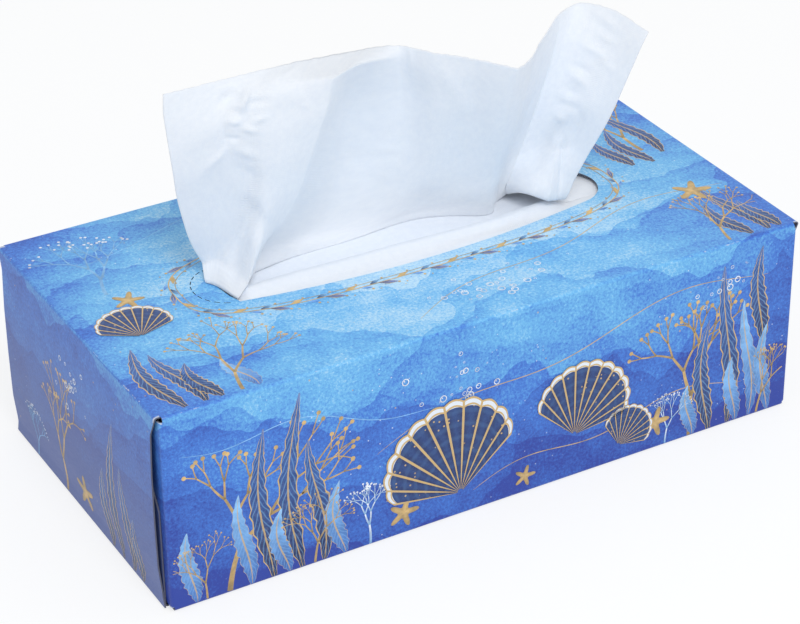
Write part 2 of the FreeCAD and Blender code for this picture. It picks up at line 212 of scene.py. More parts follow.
def normals(grid):
    """Unit normals of a (rows, columns, 3) grid: the cross product of its two slopes."""
    n = np.cross(np.gradient(grid, axis=1), np.gradient(grid, axis=0))
    return n / np.maximum(np.linalg.norm(n, axis=-1, keepdims=True), 1e-12)


def mounds(u, v, marks):
    """Sum of puckers: Gaussian mounds whose one long side is cut steep. Each mark is the
    pucker's place (u, v), its length and width, the turn of its long axis in degrees and
    its height."""
    cu, cv, long, wide, turn, high = np.array(marks).T.reshape(6, -1, 1, 1)
    angle = np.radians(turn)
    a = (u - cu) * np.cos(angle) + (v - cv) * np.sin(angle)
    b = ((v - cv) * np.cos(angle) - (u - cu) * np.sin(angle)) / wide
    return (0.72 * high * np.exp(-(a / long) ** 2 - b ** 2) * (1 - np.tanh(1.1 * b))).sum(0)


# Materials
class Value:
    """A shader socket to reckon with: each operator adds one Math node."""

    def __init__(self, nodes, socket):
        self.nodes, self.socket = nodes, socket

    def fit(self, scale, offset):
        """This value times scale, plus offset, in one node."""
        return self.nodes.math("MULTIPLY_ADD", self, scale, offset)

    def __rsub__(self, other):
        return self.nodes.math("SUBTRACT", other, self)


for sign, operation in {"add": "ADD", "sub": "SUBTRACT", "mul": "MULTIPLY", "truediv": "DIVIDE",
                        "pow": "POWER", "gt": "GREATER_THAN", "lt": "LESS_THAN",
                        "abs": "ABSOLUTE"}.items():
    setattr(Value, f"__{sign}__", lambda self, *by, operation=operation:
            self.nodes.math(operation, self, *by))


class Nodes:
    """Adds nodes to a tree and links them. An input is a number, a colour or a Value."""

    def __init__(self, tree):
        self.tree = tree

    def add(self, kind, inputs=None, **settings):
        """Adds a node and gives its outputs by number and by name."""
        node = self.tree.nodes.new("ShaderNode" + kind)
        for key, value in settings.items():
            setattr(node, key, value)
        for key, value in (inputs or {}).items():
            self.put(node.inputs[key], value)
        values = [Value(self, socket) for socket in node.outputs]
        return dict(enumerate(values)) | {value.socket.name: value for value in values}

    def put(self, socket, value):
        if isinstance(value, Value):
            self.tree.links.new(value.socket, socket)
        elif socket.type == "RGBA" and len(value) == 3:
            socket.default_value = (*value, 1)
        else:
            socket.default_value = value

    def math(self, operation, *values, clamp=False):
        return self.add("Math", dict(enumerate(values)), operation=operation, use_clamp=clamp)[0]

    def split(self, vector):
        """X, Y and Z of a vector."""
        return list(self.add("SeparateXYZ", {0: vector}).values())[:3]

    def group(self, name, inputs):
        return self.add("Group", inputs, node_tree=shared_group(name))

    def spread(self, value, low, high, to_low=0.0, to_high=1.0, smooth=False):
        return self.add("MapRange", {"Value": value, "From Min": low, "From Max": high,
                                     "To Min": to_low, "To Max": to_high},
                        interpolation_type="SMOOTHSTEP" if smooth else "LINEAR")[0]

    def mix(self, factor, first, second, blend="MIX"):
        return self.add("Mix", {0: factor, 6: first, 7: second}, data_type="RGBA",
                        blend_type=blend)[2]

    def noise(self, vector, scale, detail=2.0, rough=0.5, **inputs):
        values = {"Vector": vector, "Scale": scale, "Detail": detail, "Roughness": rough}
        return self.add("TexNoise", {**values, **inputs})[0]

    def dots(self, vector, scale, radius, share):
        """Round dots, one in each kept cell of a Voronoi pattern."""
        cells = self.add("TexVoronoi", {"Vector": vector, "Scale": scale, "Randomness": 0.9})
        kept = self.add("SeparateColor", {0: cells["Color"]})[0] < share
        return self.spread(cells["Distance"], radius, radius * 0.7, smooth=True) * kept

    def bump(self, height, distance, strength):
        return self.add("Bump", {"Height": height, "Distance": distance,
                                 "Strength": strength})[0]


def fresh_nodes(owner):
    """Empties the node tree of a material or a world."""
    owner.use_nodes = True
    owner.node_tree.nodes.clear()
    return Nodes(owner.node_tree)


def fill_wash(n, given):
    """Watercolour: a depth that grows away from the slot and down the sides, cut into
    bands with a crisp upper edge, runs through four colours."""
    here = given["Position"]
    x, y, z = n.split(here)
    top = n.spread(z, TOP_Z - 0.0008, TOP_Z - 0.0001, smooth=True)
    far_x = abs(x / END_X)
    far_y = abs(y / SIDE_Y) * 0.72
    far = n.math("SQRT", far_x ** 2.0 + far_y ** 2.0)
    on_top = (far ** 2.6).fit(0.32, 0.20)
    on_side = (far_x ** 4.0).fit(0.16, n.spread(z, TOP_Z, 0.0, 0.40, 0.90))
    depth = on_top * top + on_side * (1.0 - top)
    pitch = (z + (y + SIDE_Y) * top) / given["Band height"]
    for count, slant, scale, sway, share, seed in (
            (0.9, 6.0, 16.0, 2.6, 0.15, 0.3), (0.5, -9.0, 11.0, 3.0, 0.13, 3.1),
            (1.7, 14.0, 30.0, 2.4, 0.06, 7.7)):
        offset = n.add("VectorMath", {0: here, 1: (seed, seed, seed)}, operation="ADD")[0]
        drift = n.noise(offset, scale, 4.0, 0.55) * sway
        run = pitch.fit(count, x.fit(slant, drift))
        depth = (n.math("FRACT", run) ** 2.2 - 0.3).fit(share, depth)
    depth = (n.noise(here, 70.0, 6.0, 0.62) - 0.5).fit(0.42, depth)
    grain = n.noise(here, n.math("DIVIDE", 1.0, given["Grain"]), 4.0, 0.75)
    depth = (grain - 0.5).fit(0.85, depth)
    tint = given["Light"]
    for low, high, deeper in ((0.05, 0.34, "Azure"), (0.34, 0.62, "Blue"), (0.62, 0.95, "Deep")):
        tint = n.mix(n.spread(depth, low, high), tint, given[deeper])
    return tint, grain


def fill_wear(n, given):
    """Wear along the folds: the middle one of the distances to the end, the side and
    the nearer of top and bottom is small there, and a noise breaks it up. At a corner
    all three are small."""
    here, reach = given["Position"], given["Reach"]
    x, y, z = n.split(here)
    x, y, z = FLAP_X - abs(x), SIDE_Y - abs(y), n.math("MINIMUM", TOP_Z - z, z)
    low, high = n.math("MINIMUM", x, y), n.math("MAXIMUM", x, y)
    middle = n.math("MAXIMUM", low, n.math("MINIMUM", high, z))
    most = n.math("MAXIMUM", high, z)
    patchy = reach * n.spread(n.noise(here, 45.0, 2.0, 0.5), 0.42, 0.66, 0.1, 1.3)
    edge = n.math("SUBTRACT", 1.0, middle / patchy, clamp=True)
    corner = n.math("SUBTRACT", 1.0, most / (reach * 2.6), clamp=True)
    worn = n.math("MAXIMUM", edge * 0.8, corner * 1.5)
    broken = n.noise(here, 420.0, 5.0, 0.7)
    return [n.spread(worn + broken * 0.9, 1.06, 1.22, smooth=True)]


def fill_fibre(n, given):
    """Paper surface: short fibres from a noise stretched one way, and a finer grain."""
    stretched = n.add("Mapping", {"Vector": given["Vector"], "Scale": (1.0, 0.35, 1.0)})[0]
    scale = n.math("DIVIDE", 1.0, given["Size"])
    fibre = n.noise(stretched, scale, 4.0, 0.65, Distortion=0.6)
    fine = n.noise(given["Vector"], scale * 3.1, 2.0, 0.5)
    return fine.fit(0.35, fibre * 0.65), fibre


def fill_crepe(n, given):
    """Crepe of a tissue: uneven fine lines across the sheet over a soft mottle."""
    where, pitch = given["Vector"], given["Pitch"]
    drift = n.noise(where, 60.0, 3.0, 0.6)
    line = (n.split(where)[1] / pitch).fit(6.2832, drift * 40.0)
    ridge = n.math("SINE", line).fit(0.5, 0.5)
    mottle = n.noise(where, 420.0, 4.0, 0.6)
    fine = n.noise(where, n.math("DIVIDE", 0.8, pitch), 3.0, 0.6)
    return ridge * (mottle * 0.5) + fine * 0.6, n.spread(mottle, 0.3, 0.7)


# Node groups that the materials share: how each is filled, its inputs and its outputs
SHARED = {
    "Watercolour wash": (fill_wash, {"Position": "Vector", "Band height": "Float",
                                     "Grain": "Float", "Light": "Color", "Azure": "Color",
                                     "Blue": "Color", "Deep": "Color"},
                         {"Colour": "Color", "Grain": "Float"}),
    "Edge wear": (fill_wear, {"Position": "Vector", "Reach": "Float"}, {"Mask": "Float"}),
    "Paper fibre": (fill_fibre, {"Vector": "Vector", "Size": "Float"},
                    {"Height": "Float", "Fibre": "Float"}),
    "Tissue crepe": (fill_crepe, {"Vector": "Vector", "Pitch": "Float"},
                     {"Height": "Float", "Mottle": "Float"}),
}


def shared_group(name):
    """A node group of SHARED with named sockets, built once."""
    if name in bpy.data.node_groups:
        return bpy.data.node_groups[name]
    fill, inputs, outputs = SHARED[name]
    tree = bpy.data.node_groups.new(name, "ShaderNodeTree")
    for side, sockets in (("INPUT", inputs), ("OUTPUT", outputs)):
        for key, kind in sockets.items():
            tree.interface.new_socket(name=key, in_out=side, socket_type="NodeSocket" + kind)
    n = Nodes(tree)
    given = {socket.name: Value(n, socket) for socket in tree.nodes.new("NodeGroupInput").outputs}
    for socket, value in zip(tree.nodes.new("NodeGroupOutput").inputs, fill(n, given)):
        n.put(socket, value)
    return tree


def material(name, build):
    """A material whose build(nodes) returns the inputs of its Principled shader."""
    mat = bpy.data.materials.new(name)
    n = fresh_nodes(mat)
    n.add("OutputMaterial", {"Surface": n.add("BsdfPrincipled", build(n))[0]})
    return mat


def wear_off(n, here, look, colour):
    """How worn the board is, and the colour of the print once it is worn there."""
    worn = n.group("Edge wear", {"Position": here, "Reach": look.wear})[0]
    return worn, n.mix(worn * 0.85, colour, WORN)


def printed_carton(look):
    """Coated board: watercolour print outside, plain board inside and on cut edges, in a dark
    colour that also paints the shade in the gap under the end flaps' edges.
    """
    def build(n):
        here = n.add("TexCoord")["Object"]
        at = n.split(here)
        facing = n.split(n.add("NewGeometry")["True Normal"])
        outside = []
        for axis, limit, middle in ((0, END_X, 0.0), (1, SIDE_Y, 0.0), (2, TOP_Z / 2, TOP_Z / 2)):
            place = at[axis] - middle
            out = n.math("MAXIMUM", facing[axis] * n.math("SIGN", place), 0.0)
            outside.append((abs(place) > limit - SKIN) * out)
        printed = outside[0] + outside[1] + outside[2] > 0.45
        wash = n.group("Watercolour wash",
                       {"Position": here, "Band height": look.band, "Grain": look.grain,
                        "Light": look.light, "Azure": look.azure, "Blue": look.blue,
                        "Deep": look.deep})
        fibre = n.group("Paper fibre", {"Vector": here, "Size": 0.0007})
        clusters = n.spread(n.noise(here, 30.0, 2.0), 0.42, 0.62)
        white_dots = n.dots(here, 520.0, 0.13, 0.30) * clusters
        gold_dots = n.dots(here, 300.0, 0.10, 0.16) * clusters
        # On the ends the print is mixed towards the grey-blue, more so towards the bottom: partly
        # the ends' own greyer print, partly painted shade of the end faces.
        end_grey_and_shade_share = (abs(at[0]) > END_X + SKIN) * n.spread(at[2], TOP_Z, 0.02, 0.1, 0.6)
        colour = n.mix(end_grey_and_shade_share, wash["Colour"], look.print_grey_and_shade)
        colour = n.mix(white_dots * 0.75, colour, look.white)
        colour = n.mix(gold_dots * 0.8, colour, look.gold)
        worn, colour = wear_off(n, here, look, colour)
        # Dark board colour: on the cut edges it also paints the shade in the gap under the end
        # flaps' edges.
        board = n.mix(fibre["Fibre"], tuple(0.72 * c for c in look.board),
                      tuple(min(1.12 * c, 1) for c in look.board))
        rough = n.spread(fibre["Fibre"], 0.3, 0.7, 0.40, 0.52) + worn * 0.25
        return {"Base Color": n.mix(printed, board, colour),
                "Roughness": n.math("MULTIPLY_ADD", 1.0 - printed, 0.4, rough, clamp=True),
                "Specular IOR Level": 0.4,
                "Normal": n.bump(wash["Grain"] * 0.5 + fibre["Height"], 0.00002, 0.6)}
    return material("Printed board", build)


def tissue_paper(name, look, through_light):
    """Soft three-ply paper with crepe lines and a fine embossed grid along its two
    crimped bands, that lets some light through."""
    def build(n):
        where = n.add("TexCoord")["UV"]
        across, along, _ = n.split(where)
        crepe = n.group("Tissue crepe", {"Vector": where, "Pitch": look.crepe})
        fibre = n.group("Paper fibre", {"Vector": where, "Size": 0.0012})
        side = abs(across - CRIMP_MIDDLE)
        band = n.spread(side, *CRIMP_INNER, smooth=True) * n.spread(side, *CRIMP_OUTER, smooth=True)
        weave = [n.math("SINE", slant * 5200.0) for slant in (across + along, across - along)]
        bond = weave[0] * weave[1] * (band * n.spread(n.noise(where, 90.0, 2.0), 0.4, 0.6))
        height = bond.fit(0.9, fibre["Height"].fit(0.5, crepe["Height"]))
        return {"Base Color": n.mix(crepe["Mottle"], look.shade, look.white),
                "Roughness": n.spread(fibre["Fibre"], 0.3, 0.7, 0.82, 0.95),
                "Specular IOR Level": 0.25,
                "Sheen Weight": 0.15, "Sheen Roughness": 0.6,
                "Subsurface Weight": through_light, "Subsurface Scale": 0.0012,
                "Subsurface Radius": (1.0, 1.0, 1.0),
                "Normal": n.bump(height, 0.00009, 0.5)}
    return material(name, build)


def stacked_paper(look):
    """Edges of folded tissues: fine level lines in the paper's own white."""
    def build(n):
        here = n.add("TexCoord")["Object"]
        wobble = n.noise(here, 90.0, 3.0)
        line = n.math("SINE", n.split(here)[2].fit(9000.0, wobble * 6.0))
        crepe = n.group("Tissue crepe", {"Vector": here, "Pitch": look.crepe})
        shade = n.spread(line, -1.0, 1.0, 0.0, 1.0)
        return {"Base Color": n.mix(shade, look.shade, look.white),
                "Roughness": n.spread(crepe["Mottle"], 0.0, 1.0, 0.85, 0.95),
                "Specular IOR Level": 0.25,
                "Normal": n.bump(crepe["Height"] + shade, 0.00008, 0.6)}
    return material("Stacked tissue", build)


# Pulled tissue
# Pleats of the pulled tissue, in mm, from its free top edge down into the slot. Heights
# are over the top panel.
PLEATS = (
    # left side edge
    ((-72, 4, 62.5), (-72.5, 3.5, 57.5), (-72, 3, 49), (-71, 3, 39), (-69, 4.5, 26),
     (-65.5, 6, 13), (-61.3, 8, 4.2), (-62.7, 3.4, 0.4), (-59, 6, -0.2), (-57.5, 8, -1.5)),
    # left crimped band
    ((-46, 4, 62.5), (-49, 1.5, 59), (-52.5, -0.5, 51.5), (-52, 0, 41), (-50, 1.5, 27),
     (-51.5, 2.5, 14), (-56, 3.5, 4.5), (-60.5, -2, 0.5), (-57, 2.5, 0), (-55, 8, -1.5)),
    # left flap
    ((-32.5, 4.5, 62), (-37.5, -2, 60), (-41, -3, 51), (-43, -3, 39), (-44.5, -2.5, 26.5),
     (-47.5, -3, 14.5), (-54, -7, 2.5), (-59, -10, 0.5), (-55, -3, 0), (-51, 8, -1.5)),
    # front fold
    ((-14.5, 4.5, 61), (-26, -9, 61.5), (-27.5, -8, 52), (-30.8, -4.9, 38.3), (-35.3, -2.1, 22.8),
     (-41.5, -0.4, 13.0), (-46.0, 2.4, 6.6), (-46.6, 3.4, -0.5), (-46.2, 4.6, -1.45),
     (-44.5, 9, -1.5)),
    # beside the front fold
    ((-6.5, 3.5, 61), (-14.5, -4.5, 61.5), (-13.3, 3.8, 46.8), (-12.9, 9, 27.4), (-18.0, 9, 12.4),
     (-25.8, 8.4, 3.5), (-30.8, 6.3, 0.7), (-31.9, 6.3, -1.45), (-31.5, 8, -1.48), (-31, 12, -1.5)),
    # top of the middle panel
    ((0.5, 0, 61.5), (0.5, -0.5, 58), (2.5, 2.5, 45.5), (2.3, 4.8, 26.7), (-0.4, 6.6, 12.0),
     (-6.8, 7.6, 2.6), (-11, 7.2, -0.3), (-13.8, 6.6, -1.4), (-14, 9, -1.42), (-13, 12, -1.5)),
    # middle panel
    ((7, -8, 61), (7, -7.5, 55), (8.5, -6, 44.5), (9.5, -2, 28), (9.5, 2, 13),
     (8, 5.6, 4.6), (5.8, 7.4, 0.9), (4.6, 8.2, -1.4), (5, 10.5, -1.42), (5, 13, -1.5)),
    # right part of the middle panel
    ((16, -16.5, 60), (16.5, -15, 53.5), (18, -12, 43), (19.5, -6.5, 27.5), (19.5, -1.5, 12.5),
     (18.5, 1.5, 5), (17.8, 4, 1.3), (17.8, 5.4, -1.4), (18, 8, -1.42), (17.5, 11.5, -1.5)),
    # forward dip
    ((25.5, -24, 58), (26, -21, 50.5), (27, -16.5, 39.5), (28, -10.5, 25), (28, -5.5, 12.5),
     (28, -3.5, 5.5), (28, -2, 1.5), (28.6, -0.6, -1.4), (29, 3, -1.5), (28.5, 9, -1.5)),
    # turn behind the dip
    ((42.5, -11, 58.5), (41, -10, 50.5), (40, -8, 40), (38, -4.5, 26.5), (35.5, -1, 14),
     (35.5, 1.5, 8), (35.5, 3.5, 1.2), (36, 4.7, -1.4), (36.5, 7.5, -1.5), (36.5, 11, -1.5)),
    # right fold
    ((52.5, -3.5, 60.5), (52, -3, 53.5), (50, -1.5, 42), (46.5, 0.5, 27.5), (42.5, 2, 15),
     (39.5, 1.7, 9), (38.2, 3, 3), (40, 5.2, 0), (41, 8, -1), (41.5, 12, -1.5)),
    # right flap
    ((61, -1, 61), (58, -3.5, 54.5), (55, -4.5, 43.5), (51, -4.5, 29.5), (47.7, -2.4, 16.3),
     (43.5, -4.8, 10.8), (40.7, -6.7, 5.2), (44.5, 1.6, 1.0), (46, 7, -0.8), (46, 12, -1.5)),
    # right crimped band
    ((66, -7, 61), (63.5, -9, 53), (60, -10, 44.5), (55.5, -9.5, 32.5), (52.3, -5.5, 20.2),
     (48.6, -7.9, 12.9), (45.2, -10.5, 3.4), (48.5, -3, 0.9), (50.5, 3, -0.6), (51, 11, -1.5)),
    # right side edge
    ((71.5, -22, 57.5), (69, -22, 53), (66, -20, 43), (62.5, -16, 28.5), (58.5, -11, 15),
     (55.3, -9.5, 7.6), (52, -9.6, 1.9), (53, -5.5, 0.8), (54, 0, -0.6), (55, 10, -1.5)),
)
ACROSS = np.array((0, 30, 45, 65, 75, 84, 95, 110, 124, 148, 162, 172, 181, 200)) / 1000
DOWN = np.array((0, 8, 19, 33, 47, 57, 65, 68, 71, 76)) / 1000
# How sharp each pleat's crease is, over the rows of DOWN
CREASES = {3: (0, 1, 1, 1, 1, 1, 1, 1, 1, 0), 4: (0, 0.3, 0, 0, 0, 0, 0, 0, 0, 0),
           5: (0.6, 0.6, 0.3, 0, 0, 0, 0, 0, 0, 0), 8: (0.5, 0.3, 0.2, 0, 0, 0, 0, 0, 0, 0),
           10: (0.4, 1, 1, 1, 1, 1, 1, 1, 1, 0), 12: (0, 0, 0, 0, 0.9, 1, 1, 0.6, 0, 0),
           2: (0, 0, 0, 0, 0, 0.4, 0.8, 0.8, 0.5, 0)}
# Puckers of the pulled tissue, in mm: distance from its left edge and from its top edge,
# half length and half width, turn of the long side in degrees, height
PUCKERS = (
    (183, 4.2, 4, 1.6, 10, 0.7), (183, 8.8, 3.4, 1.3, 5, 0.5), (180.4, 14.2, 5, 1.9, 16, 0.8),
    (188, 18.2, 4, 1.5, 10, 0.35), (177.3, 20.5, 4.2, 1.5, 20, -0.55),
    (177.8, 24.3, 4.6, 1.6, 30, 0.7), (175.9, 27.5, 4.2, 1.3, 27, -0.45),
    (175.2, 30.4, 4.6, 1.5, 30, 0.65), (178.5, 33.6, 8, 1.9, 30, -0.6),
    (186.5, 42.5, 7, 2.6, 72, -0.6), (175.4, 36.8, 4.5, 1.5, 38, 0.6),
    (184.6, 50, 6, 1.8, -25, -0.35), (186, 55, 10, 1.8, 65, -0.7), (176, 44.5, 7, 1.9, 49, 0.4),
    (31.8, 13.5, 1.7, 4.2, 0, 2.6), (25.2, 11, 3.0, 3.4, 0, -2.0), (36.6, 14, 3.4, 1.4, 0, -0.7),
    (29, 14, 2.2, 1.6, 20, 1.0), (29.4, 20, 2.6, 1.8, 20, 1.1), (25, 25, 8, 1.8, 88, -0.6),
    (35.5, 24, 3.2, 1.8, 15, 0.8), (39, 19, 3, 1.6, 160, 0.6), (29, 27.5, 3, 1.6, 10, -0.6),
    (20, 33, 7, 1.6, 155, 0.6), (33.3, 33.5, 5, 2.2, 10, 0.65), (34, 41.5, 6, 2.8, 8, -0.5),
    (34.5, 48, 7, 2.6, 8, 0.5), (37.4, 52.6, 6, 2.4, 8, -0.4), (47.4, 52.5, 5, 2.4, 12, 0.6),
    (42.3, 59.2, 5.5, 3.2, 8, 1.4), (34, 64, 7, 3.2, 30, -0.9), (17, 38, 14, 4.5, -25, 0.4),
    (52, 10, 5, 2.2, 46, -0.35), (55.5, 17.3, 2, 1.2, 25, 0.25), (45.8, 4.4, 4.5, 1.8, -25, 0.3),
    (81, 34, 4.5, 1.4, 12, 0.3), (110, 12, 10.5, 2.6, 101, -0.25),
    (141, 18, 22, 3.0, 93, -0.5), (133, 22, 22, 4.5, 88, 0.5), (151, 28, 18, 2.2, 97, -0.35),
    (104, 30, 22, 8.0, 100, -0.6), (90, 45, 18, 6.0, 20, 0.5), (118, 48, 18, 5.0, 170, 0.4),
    (87, 5, 6, 1.2, 90, 0.5), (100, 12, 14, 4.0, 60, 0.4),
)


PULLED_STEP = 0.00065        # distance between two points of the sheet above the stack


def pulled_grid():
    """Knots of the pulled tissue: its pleats above the stack, then rows that spread to
    the sheet's full width on top of it, turn at its side and run back."""
    stand = np.array(PLEATS, float) / 1000
    stand[..., 2] += TOP_Z
    stand[:, -1, 2] = LAYERS[3]
    flat_x = ACROSS - SHEET_FLAT[0] / 2
    rows = [stand[:, j] for j in range(stand.shape[1])]
    for share, y, layer in ((0.55, 0.019, 3), (0.97, 0.034, 3), (1, 0.0498, 3), (1, 0.0502, 2),
                            (1, 0.0498, 1), (1, 0.020, 1), (1, -0.030, 1)):
        x = stand[:, -1, 0] * (1 - share) + flat_x * share
        rows.append(np.stack([x, np.full_like(x, y), np.full_like(x, LAYERS[layer])], axis=-1))
    knots = np.array(rows)
    steps = np.linalg.norm(np.diff(knots[9:], axis=0), axis=-1).mean(axis=1)
    return knots, np.concatenate([DOWN, DOWN[-1] + np.cumsum(steps)])


def pulled_surface(pucker=1.0):
    """The sheet as a function of the distance from its left edge and from its top edge:
    the curves through each pleat, then the curve across them at each depth, moved out
    along the normal by the puckers, and a slightly ragged top edge. ridge and crease say
    how sharp a curve is at its knots, down the pleats and across them."""
    knots, down = pulled_grid()
    v = between(down, PULLED_STEP, 0.004, DOWN[-1])
    u = between(ACROSS, PULLED_STEP)
    ridge = np.zeros(knots.shape[:2] + (1,))
    ridge[1, 3:6, 0] = (1, 1, 0.3)
    ridge[6, :, 0] = (1, 1, 1, 0.8, 0.4, 0.2, 0.2, 0.2, 0.2, 0.2, 0.6, 0.6, 0.6, 0.6)
    ridge[7, :, 0] = 0.5
    ridge[12:15] = 0.6
    lines = through(knots, down, v, ridge).transpose(1, 0, 2)
    crease = np.zeros((len(ACROSS), len(v), 1))
    for pleat, sharp in CREASES.items():
        crease[pleat, :, 0] = np.interp(v, down[:len(sharp)], sharp, right=0)
    grid = through(lines, ACROSS, u, crease).transpose(1, 0, 2)
    uu, vv = np.meshgrid(u, v)
    rise = mounds(uu, vv, np.array(PUCKERS) * (1e-3, 1e-3, 1e-3, 1e-3, 1, 1e-3)) * pucker
    rise += 0.00004 * pucker * (np.sin(410 * uu + 3 * np.sin(90 * vv))
                                + np.sin(530 * vv + 150 * uu))
    rise *= np.clip((DOWN[-2] - vv) / 0.006, 0, 1)
    grid = grid - normals(grid) * rise[..., None]
    ragged = 0.00008 * np.sin(260 * u + 2 * np.sin(700 * u)) + 0.00005 * np.sin(1900 * u)
    grid[..., 2] += ragged * np.clip(1 - vv / 0.004, 0, 1)
    return grid, u, v


def sheet_piece(name, grid, u, v, look):
    """A tissue from its grid of points, with its flat places u and v as UV map and its
    thickness."""
    piece = patch_mesh(name, [(grid[None], np.stack(np.meshgrid(u, v), axis=-1)[None])])
    solid = piece.modifiers.new("Thickness", "SOLIDIFY")
    solid.thickness, solid.offset = look.thick, 0
    return piece


# Next tissue
LIP = ((-53, -6.4), (-49, -6.1), (-37, -6.1), (-21, -6.8), (-4, -7.0), (12, -8.0), (29, -8.2),
       (47, -6.4), (55, -6.6))    # crest of the lip seen from above, in mm


def next_surface():
    """The next tissue: a profile across the box, carried along it. The lip rises along
    a line through the points of LIP and comes down to a point at both ends."""
    x = np.concatenate([np.linspace(-0.1, -0.056, 12), np.linspace(-0.0555, 0.0575, 150),
                        np.linspace(0.058, 0.1, 12)])
    lip = np.array(LIP) / 1000
    crest = np.interp(x, lip[:, 0], lip[:, 1])
    rise = np.clip((x + 0.0590) / 0.0045, 0, 1) * np.clip((0.0555 - x) / 0.010, 0, 1)
    rise = rise * rise * (3 - 2 * rise)
    low, high = LAYERS[2:]
    full = np.ones_like(x)
    rows = [(0.049 * full, LAYERS[0] * full), (-0.0500 * full, LAYERS[0] * full),
            (-0.0505 * full, (LAYERS[0] + high) / 2 * full), (-0.0500 * full, high * full),
            (-0.030 * full, high * full), (-0.0165 * full, high * full),
            (-0.0130 * full, high + 0.0003 * rise),
            (crest - 0.0030 * rise, high + 0.0020 * rise), (crest, high + 0.0030 * rise),
            (crest + 0.0004, high + 0.0024 * rise - 0.0003 * (1 - rise)),
            (crest + 0.0012, low + 0.0004 * rise), (0.0, low + 0.0002), (0.008, low + 0.0002),
            (0.020, low), (0.049, low)]
    rows = np.array([(np.broadcast_to(y, x.shape), np.broadcast_to(z, x.shape)) for y, z in rows])
    places = np.concatenate([[0], np.cumsum(np.linalg.norm(np.diff(rows, axis=0), axis=1)
                                            .mean(axis=1))])
    v = between(places, 0.0012)
    crisp = np.zeros((len(rows), 1, 1))
    crisp[[1, 2, 3, 5, 8, 10, 11, 12]] = 0.9
    yz = through(rows, places, v, crisp)
    grid = np.stack([np.broadcast_to(x, yz[:, 0].shape), yz[:, 0], yz[:, 1]], axis=-1)
    return grid, x, v


# Printed shapes, all in millimetres on a panel: a to the right and b up, as seen from outside
def ribbons(path, width, columns=3):
    """Strips along paths (n, rows, 2): each point goes out square to its path by up to
    half the width (n, rows) there."""
    ahead = np.gradient(path, axis=1)
    ahead = ahead / np.maximum(np.linalg.norm(ahead, axis=-1, keepdims=True), 1e-9)
    side = np.stack([-ahead[..., 1], ahead[..., 0]], axis=-1)
    out = width[..., None] * np.linspace(-0.5, 0.5, columns)
    return path[:, :, None] + side[:, :, None] * out[..., None]


def rounds(centres, radii, inner=0.0, columns=13, rows=3, arms=0, turn=0.0):
    """Discs, rings or stars: circles of growing radius round a centre. For a star the
    radius swells with the cosine of the angle times its arms."""
    angle = np.linspace(0, 2 * np.pi, columns)
    reach = 0.38 + 0.62 * (0.5 + 0.5 * np.cos(arms * angle)) ** 1.7 if arms else np.ones(columns)
    ring = reach[:, None] * np.stack([np.sin(angle + turn), np.cos(angle + turn)], axis=-1)
    centres = np.asarray(centres, float).reshape(-1, 1, 1, 2)
    radii = np.broadcast_to(np.asarray(radii, float).reshape(-1, 1, 1, 1), (len(centres), 1, 1, 1))
    return centres + radii * np.linspace(inner, 1, rows)[:, None, None] * ring


def scallops(centres, radii, turns, columns=89, rows=16):
    """Scallops: rays from a hinge over 130 degrees. A ray grows shorter towards
    the sides, and the rim has a small wave of one crest a rib."""
    side = np.linspace(-1, 1, columns)
    crest = np.abs(np.cos(np.pi * RIBS * side / 2))
    reach = (1 - 0.24 * side ** 2 - 0.06 * side ** 6) * (0.965 + 0.035 * crest)
    angle = np.radians(turns)[:, None] + np.radians(66) * side
    ray = reach[:, None] * np.stack([np.sin(angle), np.cos(angle)], axis=-1)
    steps = np.linspace(0.04, 1, rows)[:, None, None]
    return (np.asarray(centres, float).reshape(-1, 1, 1, 2)
            + np.asarray(radii, float).reshape(-1, 1, 1, 1) * steps * ray[:, None])


def coral(root, height, lean, seed, levels=6):
    """Branches of a coral fan, level by level: every branch bends a little and splits
    into two shorter, thinner ones. Returns their paths and widths and the end points."""
    rng = np.random.default_rng(seed)
    base, head, size = np.array([root], float), np.array([lean]), np.array([height * 0.27])
    thick, paths, widths, tips = height * 0.034, [], [], []
    steps = np.linspace(0, 1, 6)
    for _ in range(levels):
        turn = head[:, None] + rng.uniform(-0.3, 0.3, (len(base), 1)) * steps
        step = size[:, None, None] / 5 * np.stack([np.sin(turn), np.cos(turn)], axis=-1)
        path = base[:, None] + np.cumsum(step, axis=1) - step[:, :1]
        paths.append(path)
        widths.append(np.broadcast_to(thick * (1 - 0.25 * steps), path.shape[:2]))
        split = rng.uniform(0.24, 0.55, (len(base), 2)) * (-1, 1)
        tips.append(path[:, -1])
        base = np.repeat(path[:, -1], 2, axis=0)
        head = 0.9 * (turn[:, -1:] + split).ravel()
        size = np.repeat(size, 2) * rng.uniform(0.66, 0.92, len(base))
        thick *= 0.74
    return np.concatenate(paths), np.concatenate(widths), tips[-1]


def blades(roots, heights, sways, width, ripples=9.0):
    """Kelp blades: paths that rise and swing like a sine, and a width that swells and
    narrows to a point, with a ripple on it."""
    t = np.linspace(0, 1, 25)
    roots, heights, sways = (np.asarray(x, float) for x in (roots, heights, sways))
    a = roots[:, :1] + sways[:, None] * (np.sin(4.2 * t + sways[:, None]) - np.sin(sways)[:, None])
    b = roots[:, 1:] + heights[:, None] * t
    wide = width * np.sin(np.pi * np.clip(t, 0.02, 0.99) ** 0.75) ** 0.8
    wide = wide * (1 + 0.16 * np.sin(ripples * 2 * np.pi * t + 3 * roots[:, :1]))
    return np.stack([a, b], axis=-1), wide


